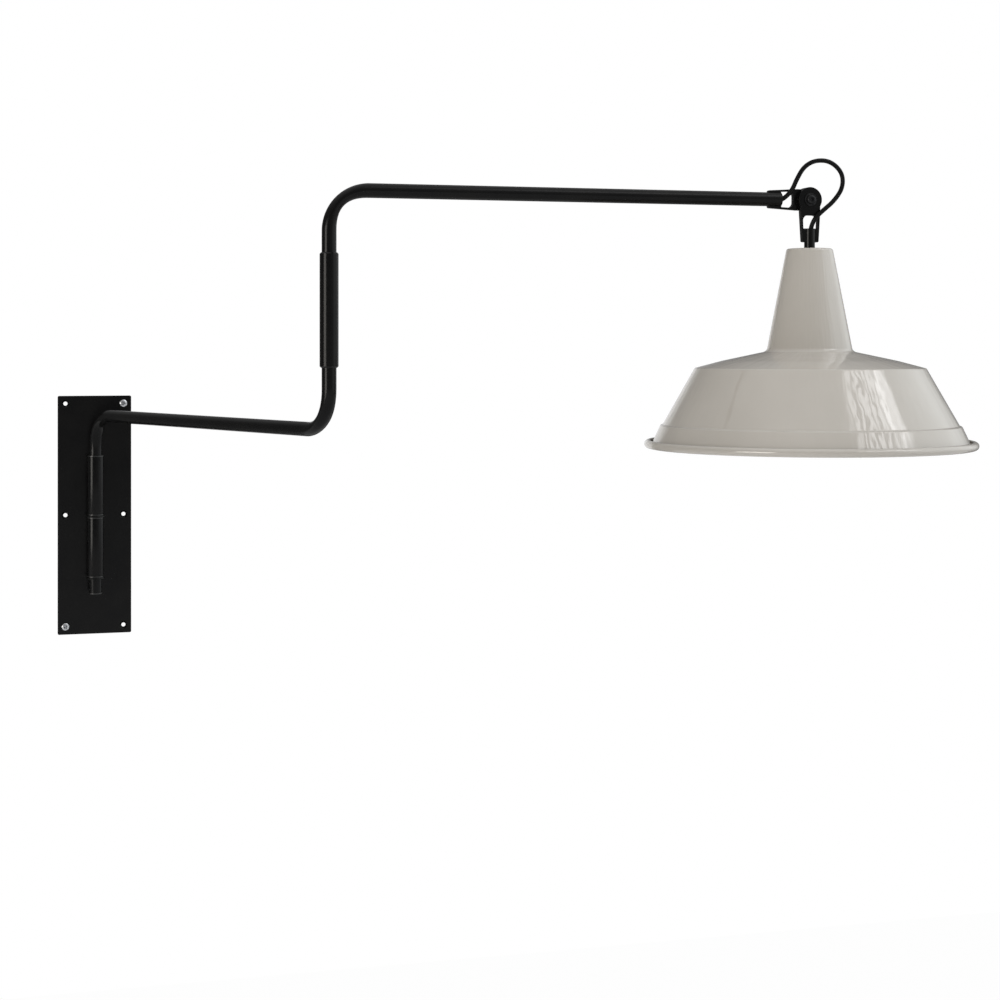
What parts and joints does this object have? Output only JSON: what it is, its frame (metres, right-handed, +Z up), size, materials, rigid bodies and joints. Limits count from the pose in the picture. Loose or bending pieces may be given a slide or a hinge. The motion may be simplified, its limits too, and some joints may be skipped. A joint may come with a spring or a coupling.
{
  "type": "wall reading lamp",
  "caption": "Wall lamp on a tall plate with a two-part swing arm, a swivel elbow, a tilting knuckle with a cable loop and a wide spun shade.",
  "frame": {"origin": "centre of the wall plate's back face", "axes": "+Y into the wall, +X along the wall towards the shade, +Z up"},
  "size_m": [1.0122, 0.7365, 0.5953],
  "materials": {
    "black_coat": "satin black powder coat",
    "black_plastic": "moulded black nylon",
    "dark_steel": "blackened steel",
    "zinc": "bright zinc plate",
    "shade_enamel": "gloss greige enamel outside, white inside",
    "brass": "plain brass",
    "ceramic": "white glazed ceramic",
    "opal_glass": "opal glass",
    "cable_jacket": "black round cable"
  },
  "bodies": {
    "wall_bracket": {"wall_plate": "black_coat", "barrel_upper": "black_coat", "barrel_lower": "black_coat", "barrel_lugs": "black_coat", "upper_barrel_top_bush": "black_plastic", "upper_barrel_bottom_bush": "black_plastic", "lower_barrel_top_bush": "black_plastic", "lower_barrel_bottom_bush": "black_plastic"},
    "lower_arm": {"stem_collar": "black_coat", "end_collar": "black_coat", "lower_arm_tube": "black_coat", "cable_inlet_bush": "black_plastic", "elbow_sleeve": "black_coat", "sleeve_grub_screw": "dark_steel", "elbow_thrust_washer": "black_plastic", "cable_in_lower_arm": "cable_jacket"},
    "upper_arm": {"upper_arm_tube": "black_coat", "arm_fork": "black_coat", "knuckle_friction_washer": "black_plastic", "knuckle_front_washer": "dark_steel", "knuckle_back_washer": "dark_steel", "knuckle_bolt": "dark_steel", "knuckle_nut": "dark_steel", "cable_in_upper_arm": "cable_jacket", "cable_loop": "cable_jacket"},
    "lamp_head": {"head_fork": "black_coat", "head_stem": "black_coat", "shade": "shade_enamel", "clamp_washer": "zinc", "lock_nut": "zinc", "lampholder_cap": "black_plastic", "lampholder_body": "black_plastic", "lampholder_ring": "black_plastic", "lampholder_insert": "ceramic", "lampholder_screw_shell": "brass", "lampholder_contact": "brass", "lamp_tip": "brass", "lamp_cap": "zinc", "lamp_glass": "opal_glass", "cable_in_head": "cable_jacket"}
  },
  "joints": [
    {"name": "wall_swivel", "type": "hinge", "parent": "wall_bracket", "child": "lower_arm", "pos_m": [0, -0.025, 0], "axis": [0, 0, 1], "range_deg": [-108, 62]},
    {"name": "elbow_swivel", "type": "hinge", "parent": "lower_arm", "child": "upper_arm", "pos_m": [0.21881, -0.54048, 0.3234], "axis": [0, 0, 1], "range_deg": [-207, 73]},
    {"name": "shade_tilt", "type": "hinge", "parent": "upper_arm", "child": "lamp_head", "pos_m": [0.77551, -0.54048, 0.3908], "axis": [0, -1, 0], "range_deg": [-15, 80], "deforming": ["cable_loop"]}
  ]
}
